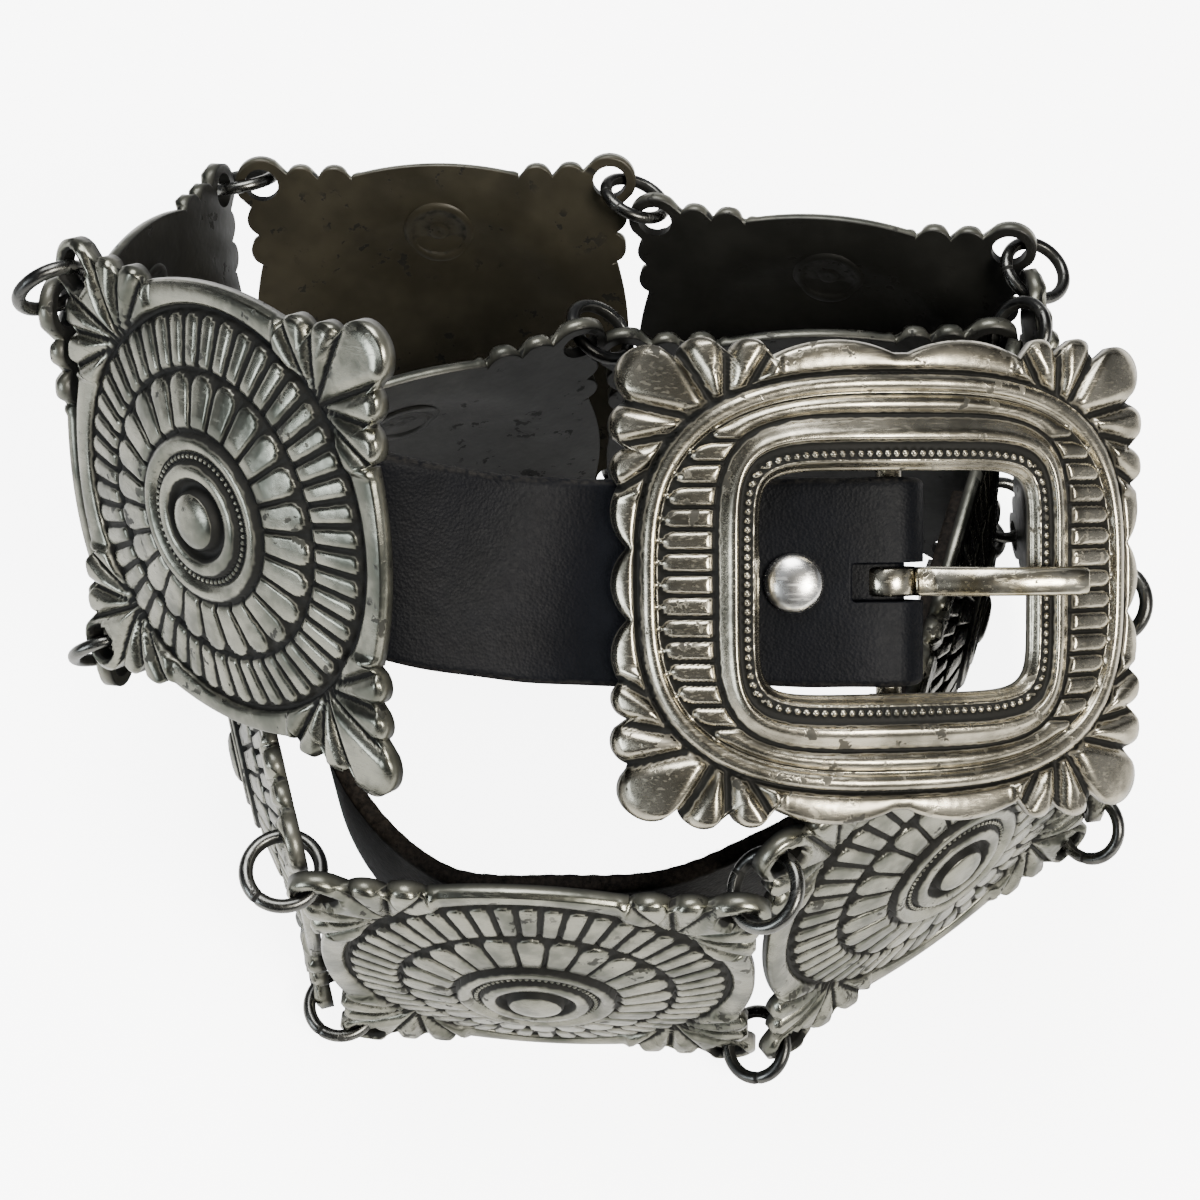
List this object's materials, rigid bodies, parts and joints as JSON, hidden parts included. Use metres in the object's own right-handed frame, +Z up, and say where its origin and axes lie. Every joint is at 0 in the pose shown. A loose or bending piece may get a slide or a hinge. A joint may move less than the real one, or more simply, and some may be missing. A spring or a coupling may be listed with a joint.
{
  "type": "concho belt",
  "caption": "Western concho chain belt in antique silver, coiled on a surface, with a leather buckle strap, an oval-lobed frame buckle and a leather tail.",
  "frame": {"origin": "centre of the bounding box at its bottom, on the surface the belt lies on", "axes": "+Z up; -Y towards the viewer of the front conchos; +X along the long way of the coil, towards the buckle side"},
  "size_m": [0.1456, 0.126, 0.1099],
  "materials": {
    "concho_silver": "cast antique silver plate, black patina in the recesses",
    "ring_steel": "tarnished round wire",
    "buckle_silver": "worn antique silver plate over brass",
    "rivet_metal": "polished",
    "strap_leather": "smooth near-black top grain",
    "tail_leather": "dark, rough cut edge"
  },
  "bodies": {
    "belt": {"concho_01": "concho_silver", "concho_02": "concho_silver", "concho_03": "concho_silver", "concho_04": "concho_silver", "concho_05": "concho_silver", "concho_06": "concho_silver", "concho_07": "concho_silver", "concho_08": "concho_silver", "concho_09": "concho_silver", "concho_10": "concho_silver", "concho_11": "concho_silver", "ring_01_top": "ring_steel", "ring_01_low": "ring_steel", "ring_02_top": "ring_steel", "ring_02_low": "ring_steel", "ring_03_top": "ring_steel", "ring_03_low": "ring_steel", "ring_04_top": "ring_steel", "ring_04_low": "ring_steel", "ring_05_top": "ring_steel", "ring_05_low": "ring_steel", "ring_06_top": "ring_steel", "ring_06_low": "ring_steel", "ring_07_top": "ring_steel", "ring_07_low": "ring_steel", "ring_08_top": "ring_steel", "ring_08_low": "ring_steel", "ring_09_top": "ring_steel", "ring_09_low": "ring_steel", "ring_10_top": "ring_steel", "ring_10_low": "ring_steel", "buckle_frame": "buckle_silver", "buckle_strap": "strap_leather", "strap_stud": "rivet_metal", "strap_rivet": "rivet_metal", "tail_strap": "tail_leather", "tail_rivet": "rivet_metal"},
    "prong": {"prong": "buckle_silver"}
  },
  "joints": [
    {"name": "prong_hinge", "type": "hinge", "parent": "belt", "child": "prong", "pos_m": [0.0332, -0.0226, 0.07556], "axis": [0.0071, -0.8492, -0.5281], "range_deg": [0, 92]}
  ]
}
